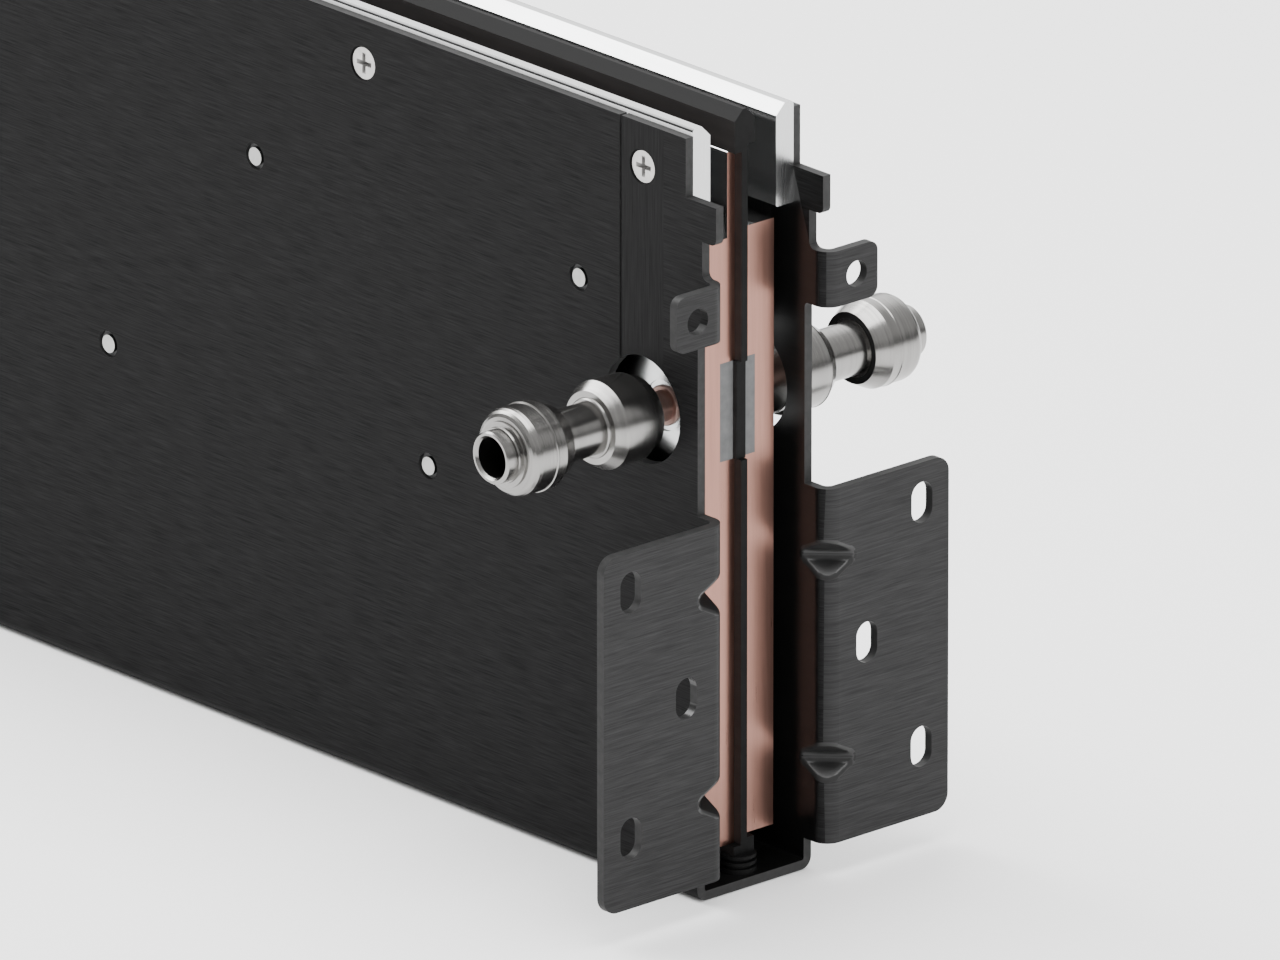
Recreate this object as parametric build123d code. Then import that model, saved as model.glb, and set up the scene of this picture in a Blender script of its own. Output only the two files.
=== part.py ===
from build123d import *
import math
import os

# Liquid-cooled busbar for a rack: a folded sheet channel holds two copper conductors with coolant ducts,
# an I-section insulator between them, two plated contact rails and a fluid coupling at each conductor end.
# Millimetres. X runs along the bar, Y across it, Z up from the underside of the channel.

# Channel, folded from one sheet
sheet = 2.0
channel_width = 30.8
wall_height = 161.5
fold_outer_r = 2.5
screw_pitch = 84.0
screw_pitches = 6
end_margin = 16.5
bar_length = screw_pitch * screw_pitches + 2 * end_margin

# Wall end outline, distances beyond the channel's end
top_setback = 3.6
tab_reach = 5.4
tab_high = wall_height - 12.4
tab_height = 8.1
tab_low = tab_high - tab_height
tab_corner_r = 1.4
recess_reach = 1.3
recess_r = 1.5
recess_height = 8.1

# Bent ears and mounting flanges
front_reach = 6.66
bend_outer_r = 3.5
ear_half_span = 27.05
ear_height = 11.8
ear_high = tab_low - recess_height
ear_low = ear_high - ear_height
ear_corner_r = 2.2
ear_hole_y = 21.4
ear_hole_z = (ear_low + ear_high) / 2
ear_hole_d = 5.5
relief_r = 1.0
flange_half_span = 46.6
flange_low = 6.7
flange_high = 82.5
flange_corner_r = 3.5
flange_root = 7.0
slot_width = 5.65
slot_length = 8.7
outer_slot_y = 39.3
outer_slot_z_low = 21.7
outer_slot_z_high = 74.0
middle_slot_y = 24.4
middle_slot_z = 47.8

# Stiffening darts pressed into the flange bends: depth from the bend's sharp corner, slope as width over depth
dart_z = (24.1, 67.4)
dart_depth = 5.38
dart_slope = 0.75
dart_nose_r = 1.6
dart_lip_r = 1.2

# Coupling opening and its assembly slot, closed by a cover strip
coupling_from_end = 16.45
coupling_z = 100.3
opening_d = 22.5
opening_z = coupling_z + 0.6
cover_half = 6.25
cover_gap = 0.65

# Contact rails and their countersunk screws
rail_thickness = 4.7
rail_high = wall_height + 1.5
rail_height = 21.6
rail_low = rail_high - rail_height
rail_setback = {"left": 3.75, "right": 3.4}
rail_inner_chamfer = 2.3
rail_outer_r = 0.9
screw_z = wall_height - 9.3
screw_head_d = 6.7
screw_shank_d = 3.5
screw_length = 6.0
screw_sunk = 0.3
screw_recess_depth = 1.5
screw_recess_span = 4.4
screw_recess_width = 1.0
sink_d = 7.5

# Centre insulator
web_half = 0.82
cap_half = 2.66
cap_chamfer = 2.2
cap_high = wall_height + 2.9
cap_height = {"left": 9.0, "right": 7.6}
cap_low = {side: cap_high - height for side, height in cap_height.items()}
foot_half = 2.7
foot_low = 5.9
foot_high = {"left": 7.8, "right": 9.15}
insulator_setback = 3.1
lock_half = 1.2
lock_setback = 4.1

# Conductors with their coolant ducts
conductor_setback = 5.2
conductor_half = 9.8
tongue_height = 18.3
conductor_top = {side: low - tongue_height for side, low in cap_low.items()}
tongue_stand_out = {"left": 0.16, "right": 0.0}
duct_half_height = 10.45
duct_low = coupling_z + 0.1 - duct_half_height
duct_high = coupling_z + 0.1 + duct_half_height
duct_depth = 4.7
duct_cover_thickness = 1.0
plug_length = 6.0
spotface_d = 10.6
spotface_depth = 0.4

# Insulating standoffs
floor_standoff_r = 3.85
floor_groove_r = 3.0
floor_pin_d = 3.0
floor_standoff_from_end = 5.0
side_standoff_d = 9.0
side_neck_d = 5.6
side_neck_length = 1.0
side_pin_d = 3.8
side_upper_z = conductor_top["left"] - 13.4
side_lower_z = coupling_z - 29.0
side_first = 35.6
side_stagger = 45.5
side_pitch = 98.0

# Couplings, lengths measured outward from the coupling's seat near the wall's outer face
coupling_seat = {"left": 0.0, "right": 0.75}
bore_r = 4.2
spigot_outer_r = 3.2
spigot_inner_r = 2.2
spigot_flange_r = 4.2
spigot_flange_proud = 0.15
spigot_reach = 6.0
hub_start = 1.0
hub_r = 8.0
hub_neck_r = 6.6
hub_end = 8.0
body_start = 3.9
body_r = 9.24
body_lip = 0.12
body_cone_start = 11.6
body_end = 14.0
body_nose_r = 7.58
stem_r = 5.52
stem_start = 8.0
stem_end = 31.0
gland_r = 6.3
gland_length = 0.6
collar_start = 24.8
collar_cone_end = 28.3
collar_lip = 30.7
collar_round_start = 34.6
collar_end = 37.0
collar_nose_r = 6.9
seal_outer_r = 7.5
seal_inner_r = 6.14
seal_depth = 1.4
nose_step_end = 38.2
nose_r = 5.46
nose_end = 40.8

half_length = bar_length / 2
wall_outer = channel_width / 2
wall_inner = wall_outer - sheet
coupling_x = half_length - coupling_from_end
side_sign = {"left": -1, "right": 1}
end_sign = {"near": 1, "far": -1}


def box_between(x0, x1, y0, y1, z0, z1):
    """Box with its faces at the given coordinates, in any order."""
    size = (abs(x1 - x0), abs(y1 - y0), abs(z1 - z0))
    centre = ((x0 + x1) / 2, (y0 + y1) / 2, (z0 + z1) / 2)
    return Pos(*centre) * Box(*size)


def cylinder_y(radius, y0, y1, x, z):
    """Cylinder along Y between two coordinates."""
    turned = Rot(90, 0, 0) * Cylinder(radius, abs(y1 - y0))
    return Pos(x, (y0 + y1) / 2, z) * turned


def cylinder_x(radius, x0, x1, y, z):
    """Cylinder along X between two coordinates."""
    turned = Rot(0, 90, 0) * Cylinder(radius, abs(x1 - x0))
    return Pos((x0 + x1) / 2, y, z) * turned


def at_end(shape, end):
    """The same shape at the near end, or mirrored to the far one."""
    return shape if end == "near" else mirror(shape, Plane.YZ)


def at_side(shape, side):
    """The same shape on the right, or mirrored to the left."""
    return shape if side == "right" else mirror(shape, Plane.XZ)


def screw_stations():
    """X of every countersunk screw of one side."""
    return [end_margin - half_length + screw_pitch * i for i in range(screw_pitches + 1)]


def side_standoff_stations():
    """X and Z of every side standoff: two staggered rows, alike from both ends."""
    stations = [(0.0, side_lower_z)]
    first = half_length - side_first
    for x, z in ((first, side_upper_z), (first - side_stagger, side_lower_z)):
        while x > 2 * side_standoff_d:
            stations += [(x, z), (-x, z)]
            x -= side_pitch
    return stations


def floor_standoff_stations():
    """X of every floor standoff: one at each end, the rest between the screws."""
    ends = [half_length - floor_standoff_from_end, floor_standoff_from_end - half_length]
    middle = [x + screw_pitch / 2 for x in screw_stations()[:-1]]
    return ends + middle


def channel_section():
    """U section of the folded channel in the YZ plane."""
    outer = Plane.YZ * Pos(0, wall_height / 2) * Rectangle(channel_width, wall_height)
    low_corners = outer.vertices().filter_by(lambda v: v.Z < 1)
    outer = fillet(low_corners, fold_outer_r)
    hollow_high = wall_height - sheet
    inner = Plane.YZ * Pos(0, sheet + hollow_high / 2) * Rectangle(2 * wall_inner, hollow_high)
    low_corners = inner.vertices().filter_by(lambda v: v.Z < sheet + 1)
    inner = fillet(low_corners, fold_outer_r - sheet)
    return outer - inner


def bent_leg(half_span, z0, z1, root):
    """Right wall's end strip bent outward through a right angle, at the near end, from a root in the wall."""
    x0 = half_length - root
    front = half_length + front_reach
    back = front - sheet
    points = [
        (x0, wall_inner),
        (front, wall_inner),
        (front, half_span),
        (back, half_span),
        (back, wall_outer),
        (x0, wall_outer),
    ]
    outline = make_face(Polyline(*points, close=True))
    outline = fillet(outline.vertices().sort_by_distance((front, wall_inner))[0], bend_outer_r)
    outline = fillet(outline.vertices().sort_by_distance((back, wall_outer))[0], bend_outer_r - sheet)
    return Pos(0, 0, z0) * extrude(outline, z1 - z0, dir=(0, 0, 1))


def rounded_outer_corners(leg, half_span, radius):
    """Round the two free corners of an ear or flange."""
    edges = leg.edges().filter_by(Axis.X).filter_by(lambda e: abs(e.center().Y - half_span) < 0.01)
    return fillet(edges, radius)


def dart_body(z, depth, nose_r):
    """Rounded V bar across the bend at 45 degrees, its wide side outside the bend."""
    apex = depth + nose_r * (1 / math.sin(math.atan(dart_slope)) - 1)
    mouth = (apex + 3) * dart_slope
    section = make_face(Polyline((-3, -mouth), (apex, 0), (-3, mouth), close=True))
    section = fillet(section.vertices().sort_by_distance((apex, 0))[0], nose_r)
    plane = Plane(
        origin=(half_length + front_reach, wall_inner, z),
        x_dir=(-1, 1, 0),
        z_dir=(1, 1, 0),
    )
    return extrude(plane.offset(-13) * section, 26)


def dart_bulges():
    """Material that the darts push out on the inner side of the bend."""
    front = half_length + front_reach
    inset = 0.75 * sheet
    low, high = flange_low, flange_high
    outside = box_between(front - 14, front - inset, wall_inner + inset, wall_inner + 14, low, high)
    return [dart_body(z, dart_depth + sheet, dart_nose_r + sheet) & outside for z in dart_z]


def pressed_groove(leg, z):
    """The leg with one dart's groove cut into the bend and the groove's lip rounded."""
    cut = leg - dart_body(z, dart_depth, dart_nose_r)
    along = Vector(1, 1, 0).normalized()
    lip = []
    for edge in new_edges(leg, combined=cut):
        straight = edge.geom_type == GeomType.LINE
        if not straight or abs(edge.tangent_at(0.5).dot(along)) < 0.99:
            lip.append(edge)
    return fillet(lip, dart_lip_r)


def slot_cutter(y, z):
    """Upright obround hole through a flange."""
    front = half_length + front_reach
    half = (slot_length - slot_width) / 2
    cutter = box_between(front - 5, front + 3, y - slot_width / 2, y + slot_width / 2, z - half, z + half)
    for centre in (z - half, z + half):
        cutter += cylinder_x(slot_width / 2, front - 5, front + 3, y, centre)
    return cutter


def mounting_flange():
    """Flange with two darts and three slots, right side, near end."""
    leg = bent_leg(flange_half_span, flange_low, flange_high, flange_root)
    leg = rounded_outer_corners(leg, flange_half_span, flange_corner_r)
    for bulge in dart_bulges():
        leg += bulge
    for z in dart_z:
        leg = pressed_groove(leg, z)
    leg -= slot_cutter(outer_slot_y, outer_slot_z_low)
    leg -= slot_cutter(outer_slot_y, outer_slot_z_high)
    return leg - slot_cutter(middle_slot_y, middle_slot_z)


def corner_web(x, z, radius, up):
    """Concave fillet of sheet thickness between an upright edge at x and a level edge at z."""
    edge = z + radius if up else z - radius
    web = box_between(x - 0.5, x + radius, wall_inner, wall_outer, z - (0.5 if up else -0.5), edge)
    return web - cylinder_y(radius, wall_inner - 1, wall_outer + 1, x + radius, edge)


def ear():
    """Ear with one round hole, right side, near end."""
    leg = bent_leg(ear_half_span, ear_low, ear_high, 1)
    leg = rounded_outer_corners(leg, ear_half_span, ear_corner_r)
    front = half_length + front_reach
    leg -= cylinder_x(ear_hole_d / 2, front - 5, front + 3, ear_hole_y, ear_hole_z)
    return leg + corner_web(half_length, ear_low, relief_r, False)


def end_tab():
    """Wall tab and the recess under it, right side, near end."""
    reach = half_length + tab_reach
    inset = half_length - 1
    tab = box_between(inset, reach, wall_inner, wall_outer, tab_low, tab_high)
    lower = tab.edges().filter_by(Axis.Y).filter_by(lambda e: e.center().X > reach - 0.1).sort_by(Axis.Z)[0]
    tab = fillet(lower, tab_corner_r)
    neck_x = half_length + recess_reach
    neck = box_between(inset, neck_x, wall_inner, wall_outer, ear_high - 1, tab_low + 1)
    return tab + neck + corner_web(neck_x, ear_high, recess_r, True)


def screw_hole(x, side):
    """Countersunk clearance hole in a wall or cover."""
    sign = side_sign[side]
    face = sign * wall_outer
    hole = cylinder_y(screw_shank_d / 2, sign * (wall_inner - 1), face, x, screw_z)
    depth = (sink_d - screw_shank_d) / 2
    cone = Rot(90 * sign, 0, 0) * Cone(sink_d / 2, screw_shank_d / 2, depth)
    return hole + Pos(x, face - sign * depth / 2, screw_z) * cone


def wall_cutter(side):
    """Openings of one wall: coupling holes, assembly slots, screw holes and standoff holes."""
    sign = side_sign[side]
    y0 = sign * (wall_inner - 0.5)
    y1 = sign * (wall_outer + 0.5)
    cutters = []
    for end in end_sign.values():
        cutters.append(cylinder_y(opening_d / 2, y0, y1, end * coupling_x, opening_z))
        inner = end * (coupling_x - cover_half - cover_gap)
        outer = end * (coupling_x + cover_half)
        cutters.append(box_between(inner, outer, y0, y1, opening_z, wall_height + 1))
    for x in screw_stations()[1:-1]:
        cutters.append(screw_hole(x, side))
    for x, z in side_standoff_stations():
        cutters.append(cylinder_y(side_neck_d / 2, y0, y1, x, z))
    return cutters


def channel_housing():
    """One folded sheet: channel, ears, flanges, tabs and all its openings."""
    body = Pos(-half_length, 0, 0) * extrude(channel_section(), bar_length, dir=(1, 0, 0))
    y0, y1 = wall_inner - 0.5, wall_outer + 0.5
    over_tab = box_between(half_length - top_setback, half_length + 1, y0, y1, tab_high, wall_height + 1)
    at_flange = box_between(half_length - flange_root, half_length + 1, y0, y1, flange_low, flange_high)
    pieces = [mounting_flange(), ear(), end_tab()]
    for end in end_sign:
        for side in side_sign:
            for strip in (over_tab, at_flange):
                body -= at_side(at_end(strip, end), side)
            for piece in pieces:
                body += at_side(at_end(piece, end), side)
    for side in side_sign:
        body -= wall_cutter(side)
    body -= [Pos(x, 0, sheet / 2) * Cylinder(floor_pin_d / 2, sheet + 2) for x in floor_standoff_stations()]
    return body


def slot_cover(side, end):
    """Strip that closes the assembly slot above a coupling."""
    x = end_sign[end] * coupling_x
    sign = side_sign[side]
    strip = box_between(
        x - cover_half, x + cover_half, sign * wall_inner, sign * wall_outer, opening_z, wall_height
    )
    strip -= cylinder_y(opening_d / 2, sign * (wall_inner - 1), sign * (wall_outer + 1), x, opening_z)
    return strip - screw_hole(end_sign[end] * (half_length - end_margin), side)


def contact_rail(side):
    """Plated bar screwed to the inner face of a wall."""
    x = half_length - rail_setback[side]
    rail = box_between(-x, x, wall_inner - rail_thickness, wall_inner, rail_low, rail_high)
    top = rail.edges().filter_by(Axis.X).group_by(Axis.Z)[-1].sort_by(Axis.Y)
    rail = chamfer(top[0], rail_inner_chamfer)
    top = rail.edges().filter_by(Axis.X).group_by(Axis.Z)[-1].sort_by(Axis.Y)
    rail = fillet(top[-1], rail_outer_r)
    bottom = rail.edges().filter_by(Axis.X).group_by(Axis.Z)[0]
    rail = chamfer(bottom, 0.3)
    depth = screw_length + screw_sunk - sheet
    for station in screw_stations():
        rail -= cylinder_y(screw_shank_d / 2, wall_inner - depth, wall_inner + 1, station, screw_z)
    return at_side(rail, side)


def countersunk_screw():
    """Cross-recess screw with its head face at the origin, shank along -Z."""
    radius = screw_shank_d / 2
    cone_height = (screw_head_d - screw_shank_d) / 2
    head = Pos(0, 0, -cone_height / 2) * Cone(radius, screw_head_d / 2, cone_height)
    shank = Pos(0, 0, -(screw_length - 0.2) / 2) * Cylinder(radius, screw_length - 0.2)
    screw = head + shank
    side = screw_recess_span / math.sqrt(2)
    for turn in (0, 90):
        arm = Box(screw_recess_span, screw_recess_width, 2 * screw_recess_depth)
        wedge = Rot(0, 45, 0) * Box(side, screw_recess_width, side)
        screw -= Rot(0, 0, turn) * (arm & wedge)
    return screw


def rail_screws():
    """All countersunk screws, heads just below the wall faces."""
    screw = countersunk_screw()
    placed = []
    for side, sign in side_sign.items():
        for x in screw_stations():
            placed.append(Pos(x, sign * (wall_outer - screw_sunk), screw_z) * Rot(-90 * sign, 0, 0) * screw)
    return Compound(placed)


def centre_insulator():
    """I-section insulator with a thicker locking block in each end of its web."""
    x = half_length - insulator_setback
    web = box_between(-x, x, -web_half, web_half, foot_low + 0.5, cap_high - 3)
    for side, sign in side_sign.items():
        web += box_between(-x, x, 0, sign * cap_half, cap_low[side], cap_high)
        web += box_between(-x, x, 0, sign * foot_half, foot_low, foot_high[side])
    top = web.edges().filter_by(Axis.X).filter_by(
        lambda e: e.center().Z > cap_high - 0.01 and abs(e.center().Y) > cap_half - 0.01
    )
    web = chamfer(top, cap_chamfer)
    for sign in end_sign.values():
        web -= box_between(
            sign * (half_length - lock_setback), sign * (half_length + 1), -3, 3, duct_low, duct_high
        )
        inner = half_length - conductor_setback - plug_length
        web += box_between(
            sign * inner, sign * (half_length - lock_setback), -lock_half, lock_half, duct_low, duct_high
        )
    for station in floor_standoff_stations():
        web -= Pos(station, 0, foot_low) * Cylinder(floor_pin_d / 2, 2.0)
    return web


def conductor(side):
    """Copper conductor: body with an open-sided duct, tongue beside the insulator, ports at both ends."""
    x = half_length - conductor_setback
    low = foot_high[side]
    body = box_between(-x, x, web_half, conductor_half, low, conductor_top[side])
    tongue_outer = cap_half + tongue_stand_out[side]
    body += box_between(-x, x, web_half, tongue_outer, low, cap_low[side])
    edge = body.edges().filter_by(Axis.X).filter_by(
        lambda e: abs(e.center().Y - tongue_outer) < 0.01 and e.center().Z > cap_low[side] - 0.01
    )
    body = chamfer(edge, 0.15)
    body -= box_between(-x - 1, x + 1, 0, duct_depth, duct_low, duct_high)
    for station in (coupling_x, -coupling_x):
        body -= cylinder_y(spigot_outer_r, duct_depth - 1, conductor_half + 1, station, coupling_z)
        face = conductor_half - spotface_depth
        body -= cylinder_y(spotface_d / 2, face, conductor_half + 1, station, coupling_z)
    return at_side(body, side)


def duct_cover(side):
    """Plate brazed into the open side of a coolant duct."""
    x = half_length - conductor_setback - plug_length
    plate = box_between(-x, x, web_half, web_half + duct_cover_thickness, duct_low, duct_high)
    return at_side(plate, side)


def duct_plug(side, end):
    """Block that closes an end of a coolant duct."""
    x = half_length - conductor_setback
    block = box_between(x - plug_length, x, lock_half, duct_depth, duct_low, duct_high)
    return at_side(at_end(block, end), side)


def floor_standoffs():
    """Ribbed round standoffs between the channel floor and the insulator's foot, each with a pin."""
    r, g, h = floor_standoff_r, floor_groove_r, foot_low
    pin_r = floor_pin_d / 2
    profile = [(0, 0), (pin_r, 0), (pin_r, sheet), (r, sheet), (r, sheet + 1.1), (g, sheet + 1.1)]
    profile += [(g, h - 2.1), (r, h - 2.1), (r, h - 1.4), (g, h - 1.4), (g, h - 0.7), (r, h - 0.7), (r, h)]
    profile += [(pin_r, h), (pin_r, h + 1), (0, h + 1)]
    standoff = turned(profile)
    return Compound([Pos(x, 0, 0) * standoff for x in floor_standoff_stations()])


def side_standoffs():
    """Insulating standoffs between conductor and wall, each with a pin that shows in the wall."""
    placed = []
    for sign in side_sign.values():
        for x, z in side_standoff_stations():
            disc = cylinder_y(side_standoff_d / 2, sign * conductor_half, sign * wall_inner, x, z)
            neck_end = wall_inner + side_neck_length
            neck = cylinder_y(side_neck_d / 2, sign * (wall_inner - 1), sign * neck_end, x, z)
            pin = cylinder_y(side_pin_d / 2, sign * wall_inner, sign * (wall_outer - 0.1), x, z)
            placed.append(disc + neck + pin)
    return Compound(placed)


def turned(points):
    """Solid of revolution from (radius, length) points, its axis along +Z."""
    face = make_face(Polyline(*[(r, 0, t) for r, t in points], close=True))
    return revolve(face, Axis.Z)


def round_profile(r0, t0, r1, t1, steps=5):
    """Points of a quarter round from (r0, t0) to the smaller (r1, t1)."""
    points = []
    for i in range(steps + 1):
        angle = math.pi / 2 * i / steps
        points.append((r1 + (r0 - r1) * math.cos(angle), t0 + (t1 - t0) * math.sin(angle)))
    return points


def port_spigot(side):
    """Copper tube from the duct to the coupling hub, with a flat flange in the conductor's spotface."""
    seat = wall_outer + coupling_seat[side]
    start = duct_depth - seat
    face = conductor_half - seat
    proud = face + spigot_flange_proud
    return turned(
        [
            (spigot_inner_r, start),
            (spigot_outer_r, start),
            (spigot_outer_r, face - spotface_depth),
            (spigot_flange_r, face - spotface_depth),
            (spigot_flange_r, proud - 0.15),
            (spigot_flange_r - 0.2, proud),
            (spigot_outer_r, proud),
            (spigot_outer_r, spigot_reach),
            (spigot_inner_r, spigot_reach),
        ]
    )


def coupling_hub():
    """Hub that takes the spigot and screws into the coupling body."""
    return turned(
        [
            (spigot_outer_r, hub_start),
            (hub_r - 0.3, hub_start),
            (hub_r, hub_start + 0.3),
            (hub_r, body_start),
            (hub_neck_r, body_start),
            (hub_neck_r, hub_end),
            (spigot_inner_r, hub_end),
            (spigot_inner_r, spigot_reach),
            (spigot_outer_r, spigot_reach),
        ]
    )


def coupling_body():
    """Inner body, with a conical shoulder towards the stem."""
    return turned(
        [
            (hub_neck_r, body_start),
            (body_r - 0.3, body_start),
            (body_r - body_lip, body_start + 0.2),
            (body_r - body_lip, body_cone_start - 0.1),
            (body_r, body_cone_start),
            (body_nose_r, body_end),
            (stem_r, body_end),
            (stem_r, stem_start),
            (hub_neck_r, stem_start),
        ]
    )


def gland_ring():
    """Polished ring where the stem enters the coupling body."""
    return turned(
        [
            (stem_r, body_end),
            (gland_r, body_end),
            (gland_r - 0.1, body_end + gland_length * 0.6),
            (gland_r - 0.35, body_end + gland_length),
            (stem_r, body_end + gland_length),
        ]
    )


def coupling_stem():
    """Tube that joins the coupling body to the collar."""
    return turned(
        [
            (bore_r, stem_start),
            (stem_r, stem_start),
            (stem_r, stem_end),
            (bore_r, stem_end),
        ]
    )


def seal_ring():
    """Rubber ring in the inner face of the collar."""
    return turned(
        [
            (seal_inner_r, collar_start + 0.2),
            (seal_outer_r - 0.15, collar_start + 0.2),
            (seal_outer_r - 0.15, collar_start + seal_depth),
            (seal_inner_r, collar_start + seal_depth),
        ]
    )


def coupling_collar():
    """Outer body: cone, cylinder with a fine lip, rounded end."""
    inner = [
        (stem_r, collar_start + seal_depth),
        (stem_r, collar_start),
        (seal_inner_r, collar_start),
        (seal_inner_r, collar_start + seal_depth),
        (seal_outer_r - 0.15, collar_start + seal_depth),
        (seal_outer_r - 0.15, collar_start),
        (seal_outer_r, collar_start),
    ]
    outer = [
        (body_r, collar_cone_end),
        (body_r, collar_lip - 0.3),
        (body_r + 0.12, collar_lip - 0.1),
        (body_r + 0.12, collar_lip + 0.1),
        (body_r - 0.1, collar_lip + 0.25),
    ]
    shoulder = round_profile(body_r - 0.1, collar_round_start, collar_nose_r, collar_end)
    return turned(inner + outer + shoulder + [(nose_r, collar_end), (nose_r, stem_end), (stem_r, stem_end)])


def coupling_nose():
    """End tube with a stepped boss."""
    return turned(
        [
            (bore_r, stem_end),
            (nose_r, stem_end),
            (nose_r, collar_end),
            (collar_nose_r - 0.1, collar_end),
            (collar_nose_r - 0.1, nose_step_end - 0.6),
            (nose_r + 0.35, nose_step_end - 0.5),
            (nose_r + 0.25, nose_step_end),
            (nose_r, nose_step_end),
            (nose_r, nose_end - 0.35),
            (nose_r - 0.35, nose_end),
            (bore_r + 0.45, nose_end),
            (bore_r, nose_end - 0.6),
        ]
    )


def place_coupling(shape, side, end):
    """Stand a turned piece out of a wall at one conductor end."""
    placed = Pos(coupling_x, wall_outer + coupling_seat[side], coupling_z) * Rot(-90, 0, 0) * shape
    return at_side(at_end(placed, end), side)


def all_parts():
    """Every sub-part by node name."""
    parts = {
        "channel_housing": channel_housing(),
        "centre_insulator": centre_insulator(),
        "rail_screws": rail_screws(),
        "floor_standoffs": floor_standoffs(),
        "side_standoffs": side_standoffs(),
    }
    turned_pieces = {
        "coupling_hub": coupling_hub(),
        "coupling_body": coupling_body(),
        "gland_ring": gland_ring(),
        "coupling_stem": coupling_stem(),
        "seal_ring": seal_ring(),
        "coupling_collar": coupling_collar(),
        "coupling_nose": coupling_nose(),
    }
    for side in side_sign:
        parts[f"contact_rail_{side}"] = contact_rail(side)
        parts[f"conductor_{side}"] = conductor(side)
        parts[f"duct_cover_{side}"] = duct_cover(side)
        for end in end_sign:
            parts[f"slot_cover_{side}_{end}"] = slot_cover(side, end)
            parts[f"duct_plug_{side}_{end}"] = duct_plug(side, end)
            parts[f"port_spigot_{side}_{end}"] = place_coupling(port_spigot(side), side, end)
            for name, shape in turned_pieces.items():
                parts[f"{name}_{side}_{end}"] = place_coupling(shape, side, end)
    return parts


os.makedirs("parts", exist_ok=True)
for node, shape in all_parts().items():
    export_step(shape, f"parts/{node}.step")
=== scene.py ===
import bpy
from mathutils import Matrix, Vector


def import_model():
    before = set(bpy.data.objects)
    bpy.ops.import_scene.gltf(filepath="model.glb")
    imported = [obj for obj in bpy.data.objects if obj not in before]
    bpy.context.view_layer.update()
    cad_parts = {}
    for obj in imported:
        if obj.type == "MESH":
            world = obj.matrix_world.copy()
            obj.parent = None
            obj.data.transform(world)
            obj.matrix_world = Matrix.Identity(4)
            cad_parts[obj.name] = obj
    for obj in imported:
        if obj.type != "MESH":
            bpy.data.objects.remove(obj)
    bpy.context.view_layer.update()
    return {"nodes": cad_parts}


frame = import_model()
nodes = frame["nodes"]

# Planes that split a node's faces between two finishes, in metres
WALL_OUTER = 0.0154
HEAD_PLANE = 0.0150
WALL_INNER = 0.0134
NECK_INNER = WALL_INNER + 0.0005
FLANGE_CLEAR = WALL_OUTER + 0.004
BEND_ROOT = 0.2640
BEND_REACH = 0.0240
FLANGE_TOP = 0.0800
SCREW_LEVEL = 0.1400
TAB_LOW = 0.1410
SHEET_TOP = 0.0040
SLACK = 0.0001

# How far a face looks along an axis: 0 is across it, 1 straight along it
LEANING = 0.5
BENT_ROUND = 0.6
SQUARE = 0.9
EXACT = 0.99
DART_SLOPE = (0.1, 0.995)
CONE_SLOPE = (0.3, 0.9)
RAIL_ROUND_SLOPE = (0.03, 0.9)

# Grain: the noise that every finish shares, and its cells per metre along x, y and z for each kind of finish
GRAIN_NOISE = {"Scale": 1.0, "Detail": 3.0, "Roughness": 0.6}
GRAIN_LOW = 0.3
GRAIN_HIGH = 0.7
GRAIN_DEPTH = 0.0001
BRUSHED_ALONG = (110, 60, 4000)
BRUSHED_ACROSS = (60, 110, 4000)
BRUSHED_UPRIGHT = (4000, 60, 80)
BRUSHED_INSIDE = (60, 60, 3000)
DRAWN_ALONG = (20, 900, 900)
DRAWN_UPRIGHT = (900, 1500, 20)
DRAWN_BAR = (40, 900, 40)
MOULDED = (40, 500, 500)
TURNED = (60, 3000, 60)
TURNED_SPIGOT = (300, 1200, 300)

# Stage and lights
FLOOR_SIZE = 12
FLOOR_LEVEL = -0.0002
NEAR_END = (0.25, 0, 0.1)
NEAR_END_LOW = (0.25, 0, 0.05)

# Camera: lens and sensor in millimetres, the rest in metres
LENS = 900
SENSOR = 36
VIEW_WIDTH = 0.256
VIEW_DEPTH = 100


def grey(value):
    return (value,) * 3


def even(scale):
    """Grain without a direction."""
    return (scale,) * 3


def shader(name, color, metallic, roughness, specular=0.5):
    """New material with its Principled shader's plain values set."""
    material = bpy.data.materials.new(name)
    material.use_nodes = True
    bsdf = material.node_tree.nodes["Principled BSDF"]
    bsdf.inputs["Base Color"].default_value = (*color, 1)
    bsdf.inputs["Metallic"].default_value = metallic
    bsdf.inputs["Roughness"].default_value = roughness
    bsdf.inputs["Specular IOR Level"].default_value = specular
    return material


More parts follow.
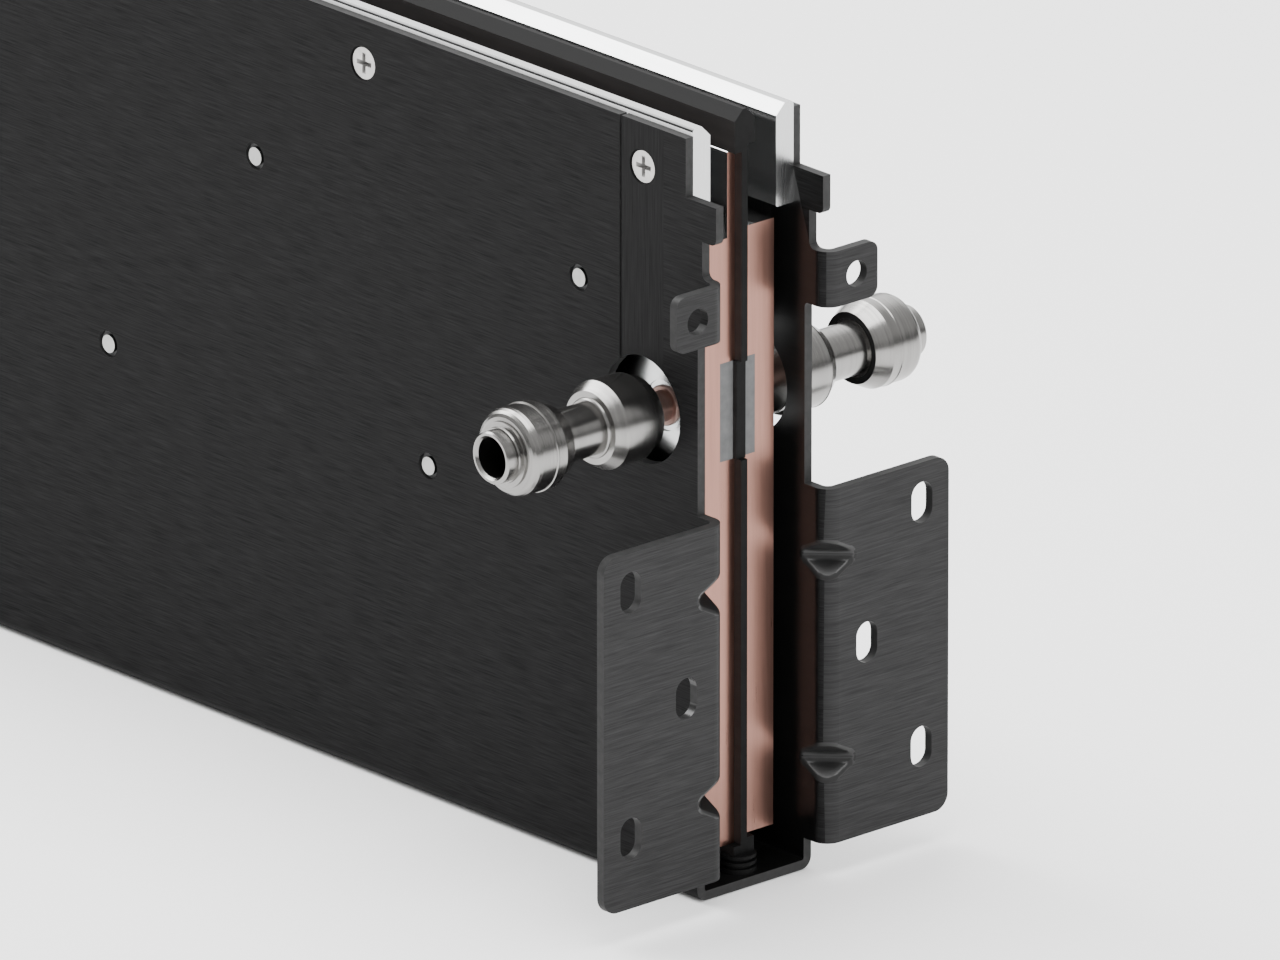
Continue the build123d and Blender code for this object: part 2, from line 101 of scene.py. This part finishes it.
def grained(name, color, rough, stretch, spread, bump, metallic=0, specular=0.5):
    """Brushed or cast look: drawn-out noise in colour, roughness and bump around the plain values."""
    material = shader(name, color, metallic, sum(rough) / 2, specular)
    tree = material.node_tree
    link = tree.links.new
    bsdf = tree.nodes["Principled BSDF"]
    coords = tree.nodes.new("ShaderNodeTexCoord")
    mapping = tree.nodes.new("ShaderNodeMapping")
    mapping.inputs["Scale"].default_value = stretch
    noise = tree.nodes.new("ShaderNodeTexNoise")
    for key, value in GRAIN_NOISE.items():
        noise.inputs[key].default_value = value
    ramp = tree.nodes.new("ShaderNodeValToRGB")
    low, high = ramp.color_ramp.elements
    low.position, high.position = GRAIN_LOW, GRAIN_HIGH
    low.color = (*(c * (1 - spread) for c in color), 1)
    high.color = (*(min(1, c * (1 + spread)) for c in color), 1)
    sheen = tree.nodes.new("ShaderNodeMapRange")
    sheen.inputs["To Min"].default_value, sheen.inputs["To Max"].default_value = rough
    relief = tree.nodes.new("ShaderNodeBump")
    relief.inputs["Strength"].default_value = bump
    relief.inputs["Distance"].default_value = GRAIN_DEPTH
    link(coords.outputs["Object"], mapping.inputs["Vector"])
    link(mapping.outputs["Vector"], noise.inputs["Vector"])
    link(noise.outputs["Fac"], ramp.inputs["Fac"])
    link(noise.outputs["Fac"], sheen.inputs["Value"])
    link(noise.outputs["Fac"], relief.inputs["Height"])
    link(ramp.outputs["Color"], bsdf.inputs["Base Color"])
    link(sheen.outputs["Result"], bsdf.inputs["Roughness"])
    link(relief.outputs["Normal"], bsdf.inputs["Normal"])
    return material


def dress(node, first, *others):
    """Give a CAD node its material, and others to the faces that pass their tests."""
    mesh = nodes[node].data
    mesh.materials.clear()
    mesh.materials.append(first)
    for material, _ in others:
        mesh.materials.append(material)
    for face in mesh.polygons:
        passed = (slot for slot, (_, test) in enumerate(others, start=1) if test(face))
        face.material_index = next(passed, 0)


def between(value, limits):
    low, high = limits
    return low < value < high


def is_cut_edge(face):
    """Edges of the folded sheet, which get a painted highlight: wall tops, ear and flange sides, and the
    walls of holes through them.
    """
    n, p = face.normal, face.center
    level = abs(n.z) > LEANING and p.z > SHEET_TOP
    upright = abs(n.y) > LEANING and abs(p.y) > FLANGE_CLEAR
    wall_end = abs(n.x) > SQUARE and abs(p.y) < WALL_OUTER
    return level or upright or wall_end


def is_pressed(face):
    """Darts pressed into the flange bends."""
    p = face.center
    at_bend = abs(p.x) > BEND_ROOT and between(abs(p.y), (WALL_INNER - SLACK, BEND_REACH))
    return at_bend and p.z < FLANGE_TOP and between(abs(face.normal.z), DART_SLOPE)


def is_sunk(face):
    """Cones of the countersunk holes."""
    p = face.center
    return between(abs(face.normal.y), CONE_SLOPE) and abs(p.y) < WALL_OUTER and p.z > SCREW_LEVEL


def is_front(face):
    """Front and back of the ears and flanges, and the bends that lead to them, which get a lighter coat as
    painted light.
    """
    return abs(face.normal.x) > BENT_ROUND


def is_level(face):
    return abs(face.normal.z) > LEANING


def is_end(face):
    return abs(face.normal.x) > SQUARE


def is_side(face):
    return abs(face.normal.y) > SQUARE


def is_inside(face):
    """Inner faces of the channel, which get a darker coat as painted shade: its floor, and its walls below
    the tabs.
    """
    p = face.center
    on_wall = is_side(face) and abs(p.y) < WALL_INNER + SLACK and p.z < TAB_LOW
    return on_wall or face.normal.z > LEANING and p.z < SHEET_TOP


def is_wall_side(face):
    """Face of a rail that lies against its wall, which gets a white painted highlight."""
    return abs(face.normal.y) > EXACT and abs(face.center.y) > WALL_INNER - 2 * SLACK


def is_rail_round(face):
    """Rounded top edge of a rail, on the side of its wall, which gets a dark painted shade band."""
    return between(face.normal.z, RAIL_ROUND_SLOPE) and face.normal.y * face.center.y > 0


def is_neck(face):
    """Ends of the standoffs' necks, sunk in the wall's holes."""
    return is_side(face) and between(abs(face.center.y), (NECK_INNER, HEAD_PLANE))


def is_head(face):
    """Outer faces that lie in the wall's plane."""
    return is_side(face) and abs(face.center.y) > HEAD_PLANE


# Black coating of the folded sheet
black = grained(
    "black_brushed", (0.0087, 0.0087, 0.0088),
    rough=(0.42, 0.52), stretch=BRUSHED_ALONG, spread=0.72, bump=0.25, specular=0.04,
)
# Painted light: a lighter copy of the same coat on the fronts of ears and flanges, for the stronger light
# from that end
black_front_painted_light = grained(
    "black_brushed_front_painted_light", (0.0202, 0.0202, 0.0204),
    rough=(0.42, 0.52), stretch=BRUSHED_ACROSS, spread=0.36, bump=0.25, specular=0.06,
)
black_upright = grained(
    "black_brushed_upright", (0.0086, 0.0086, 0.0087),
    rough=(0.42, 0.52), stretch=BRUSHED_UPRIGHT, spread=0.6, bump=0.3, specular=0.04,
)
# Painted highlight: a lighter copy of the coat on the sheet's edges and the slot covers' tops, standing in
# for light catching them
edge_painted_highlight = grained(
    "black_edge_painted_highlight", grey(0.0225),
    rough=(0.45, 0.55), stretch=even(600), spread=0.2, bump=0.1, specular=0.1,
)
black_pressed = grained(
    "black_pressed", grey(0.012),
    rough=(0.26, 0.34), stretch=even(300), spread=0.15, bump=0.05, specular=0.35,
)
# Painted shade: a darker copy of the coat on the channel's floor and inner walls, where shade falls
black_inner_painted_shade = grained(
    "black_inner_painted_shade", grey(0.003),
    rough=(0.26, 0.36), stretch=BRUSHED_INSIDE, spread=0.5, bump=0.2, specular=0.35,
)
black_sunk = grained(
    "black_countersink", grey(0.003),
    rough=(0.5, 0.6), stretch=even(300), spread=0.15, bump=0.05, specular=0.05,
)

# Bright plating of the rails and of the conductors' sides
PLATE = (0.56, 0.565, 0.565)
silver_rail = grained(
    "silver_plate", PLATE,
    rough=(0.08, 0.13), stretch=DRAWN_ALONG, spread=0.05, bump=0.015, metallic=1,
)
# Painted highlight: a white, non-metal copy of the plating on the rail's face against its wall, which shows
# as a white line above the wall top
silver_edge_painted_highlight = grained(
    "silver_edge_painted_highlight", grey(0.94),
    rough=(0.4, 0.5), stretch=DRAWN_ALONG, spread=0.03, bump=0.02,
)
# Painted shade: a dark copy of the plating on the rail's rounded top edge, standing in for the dark band it
# reflects
silver_round_painted_shade = grained(
    "silver_round_painted_shade", (0.1, 0.101, 0.101),
    rough=(0.16, 0.22), stretch=DRAWN_ALONG, spread=0.04, bump=0.02, metallic=1,
)
silver_inner = grained(
    "silver_inner", PLATE,
    rough=(0.12, 0.18), stretch=DRAWN_ALONG, spread=0.05, bump=0.015, metallic=0.98,
)
silver_end = grained(
    "silver_end", PLATE,
    rough=(0.25, 0.29), stretch=DRAWN_UPRIGHT, spread=0.03, bump=0.01, metallic=1,
)
silver = grained(
    "silver_conductor", PLATE,
    rough=(0.16, 0.24), stretch=DRAWN_ALONG, spread=0.06, bump=0.04, metallic=1,
)

# Copper, steel, polymer and rubber
bare_copper = grained(
    "bare_copper", (0.285, 0.154, 0.122),
    rough=(0.25, 0.33), stretch=DRAWN_BAR, spread=0.08, bump=0.015, metallic=1,
)
spigot_copper = grained(
    "spigot_copper", (0.34, 0.23, 0.2),
    rough=(0.35, 0.45), stretch=TURNED_SPIGOT, spread=0.1, bump=0.05, metallic=1,
)
steel = grained(
    "turned_stainless", (0.25, 0.245, 0.237),
    rough=(0.2, 0.28), stretch=TURNED, spread=0.12, bump=0.06, metallic=1,
)
plug_grey = grained(
    "plug_grey", (0.087, 0.088, 0.089),
    rough=(0.5, 0.6), stretch=even(400), spread=0.15, bump=0.08, specular=0.2,
)
polymer = grained(
    "black_polymer", grey(0.0052),
    rough=(0.34, 0.46), stretch=MOULDED, spread=0.2, bump=0.06, specular=0.05,
)
# Painted reflection: a lighter, brownish copy of the polymer on its side faces, standing in for the copper
# they reflect
polymer_side_painted_reflection = grained(
    "polymer_side_painted_reflection", (0.018, 0.016, 0.0155),
    rough=(0.3, 0.4), stretch=MOULDED, spread=0.2, bump=0.06, specular=0.2,
)
rubber = grained(
    "seal_rubber", grey(0.008),
    rough=(0.55, 0.7), stretch=even(900), spread=0.3, bump=0.1, specular=0.2,
)

# Screws and standoffs
screw_light = grained(
    "screw_metal", (0.44, 0.43, 0.42),
    rough=(0.3, 0.4), stretch=even(500), spread=0.12, bump=0.06, metallic=1,
)
# Painted shade: a darker, non-metal copy of the screw metal for the recess and everything below the head
screw_painted_shade = grained(
    "screw_recess_painted_shade", (0.2, 0.195, 0.19),
    rough=(0.5, 0.6), stretch=even(500), spread=0.12, bump=0.06,
)
pin_light = grained(
    "pin_face", (0.43, 0.43, 0.42),
    rough=(0.44, 0.56), stretch=even(400), spread=0.1, bump=0.05,
)
pin_dark = grained(
    "pin_polymer", grey(0.008),
    rough=(0.4, 0.5), stretch=even(400), spread=0.15, bump=0.05, specular=0.1,
)
pin_ring = grained(
    "pin_ring", grey(0.09),
    rough=(0.4, 0.5), stretch=even(400), spread=0.1, bump=0.05, specular=0.1,
)

sheet_faces = [
    (black_pressed, is_pressed),
    (black_sunk, is_sunk),
    (edge_painted_highlight, is_cut_edge),
    (black_front_painted_light, is_front),
    (black_inner_painted_shade, is_inside),
]
rail_faces = [
    (silver_edge_painted_highlight, is_wall_side),
    (silver_round_painted_shade, is_rail_round),
    (silver_inner, is_side),
    (silver_end, is_end),
]
steel_pieces = (
    "coupling_hub",
    "coupling_body",
    "gland_ring",
    "coupling_stem",
    "coupling_collar",
    "coupling_nose",
)
dress("channel_housing", black, *sheet_faces)
dress("centre_insulator", polymer, (polymer_side_painted_reflection, is_side))
dress("rail_screws", screw_painted_shade, (screw_light, is_head))
dress("floor_standoffs", polymer)
dress("side_standoffs", pin_dark, (pin_light, is_head), (pin_ring, is_neck))
for side in ("left", "right"):
    dress(f"contact_rail_{side}", silver_rail, *rail_faces)
    dress(f"conductor_{side}", silver, (bare_copper, is_end))
    dress(f"duct_cover_{side}", bare_copper)
    for end in ("near", "far"):
        dress(f"slot_cover_{side}_{end}", black_upright, (black_sunk, is_sunk), (edge_painted_highlight, is_level))
        dress(f"duct_plug_{side}_{end}", plug_grey)
        dress(f"port_spigot_{side}_{end}", spigot_copper)
        for piece in steel_pieces:
            dress(f"{piece}_{side}_{end}", steel)
        dress(f"seal_ring_{side}_{end}", rubber)


def floor():
    """Pale floor, larger than any view of it, just under the part."""
    bpy.ops.mesh.primitive_plane_add(size=FLOOR_SIZE, location=(0, 0, FLOOR_LEVEL))
    plane = bpy.context.object
    plane.name = "floor"
    plane.data.materials.append(shader("floor_paint", grey(0.9), metallic=0, roughness=0.9))


def aimed(name, data, place, look):
    """New object at a place, that looks along a direction with its top up."""
    thing = bpy.data.objects.new(name, data)
    bpy.context.scene.collection.objects.link(thing)
    thing.location = place
    thing.rotation_mode = "QUATERNION"
    thing.rotation_quaternion = look.to_track_quat("-Z", "Y")
    return thing


def area_light(name, place, aim, size, power, in_gloss=True):
    """Soft rectangular light pointed at a spot."""
    data = bpy.data.lights.new(name, "AREA")
    data.shape = "RECTANGLE"
    data.size, data.size_y = size
    data.energy = power
    lamp = aimed(name, data, place, Vector(aim) - Vector(place))
    lamp.visible_camera = False
    lamp.visible_glossy = in_gloss


def shade_ramp(tree, source, steps):
    """Grey ramp over a value between 0 and 1: steps of (value, share)."""
    ramp = tree.nodes.new("ShaderNodeValToRGB")
    elements = ramp.color_ramp.elements
    while len(elements) < len(steps):
        elements.new(0.5)
    for element, (place, share) in zip(elements, steps):
        element.position = place
        element.color = (*grey(share), 1)
    tree.links.new(source, ramp.inputs["Fac"])
    return ramp.outputs["Color"]


def world(strength, bright_side, side_steps, height_steps):
    """Studio surroundings: brightest towards one side, dark along the horizon."""
    sky = bpy.data.worlds.new("studio")
    bpy.context.scene.world = sky
    sky.use_nodes = True
    tree = sky.node_tree
    link = tree.links.new
    background = tree.nodes["Background"]
    background.inputs["Strength"].default_value = strength
    coords = tree.nodes.new("ShaderNodeTexCoord")
    toward = tree.nodes.new("ShaderNodeVectorMath")
    toward.operation = "DOT_PRODUCT"
    toward.inputs[1].default_value = bright_side
    parts = tree.nodes.new("ShaderNodeSeparateXYZ")
    both = tree.nodes.new("ShaderNodeVectorMath")
    both.operation = "MULTIPLY"
    link(coords.outputs["Generated"], toward.inputs[0])
    link(coords.outputs["Generated"], parts.inputs["Vector"])
    link(shade_ramp(tree, toward.outputs["Value"], side_steps), both.inputs[0])
    link(shade_ramp(tree, parts.outputs["Z"], height_steps), both.inputs[1])
    link(both.outputs["Vector"], background.inputs["Color"])


def camera():
    """Long lens at the photograph's angle."""
    target = Vector((0.25131, -0.0154, 0.08561))
    back = Vector((0.69832, -0.62878, 0.34202))
    data = bpy.data.cameras.new("camera")
    data.lens = LENS
    data.sensor_width = SENSOR
    data.clip_end = VIEW_DEPTH
    bpy.context.scene.camera = aimed("camera", data, target + back * (VIEW_WIDTH * LENS / SENSOR), -back)


floor()
world(
    strength=5.0,
    bright_side=Vector((-0.8, 0.5, 0.33)),
    side_steps=[(0.0, 0.16), (0.3, 0.16), (0.6, 0.18), (0.85, 0.55), (0.95, 0.6)],
    height_steps=[(0.0, 0.2), (0.1, 0.2), (0.3, 0.9), (0.4, 1.0)],
)
area_light("softbox", place=(-1.29, -0.34, 1.6), aim=NEAR_END, size=(1.3, 1.5), power=60)
area_light("end_side", place=(1.8, -0.2, 0.5), aim=NEAR_END_LOW, size=(1.7, 1.1), power=34, in_gloss=False)
area_light("overhead", place=(0.25, 0, 1.7), aim=NEAR_END, size=(1.5, 1.5), power=55)
camera()
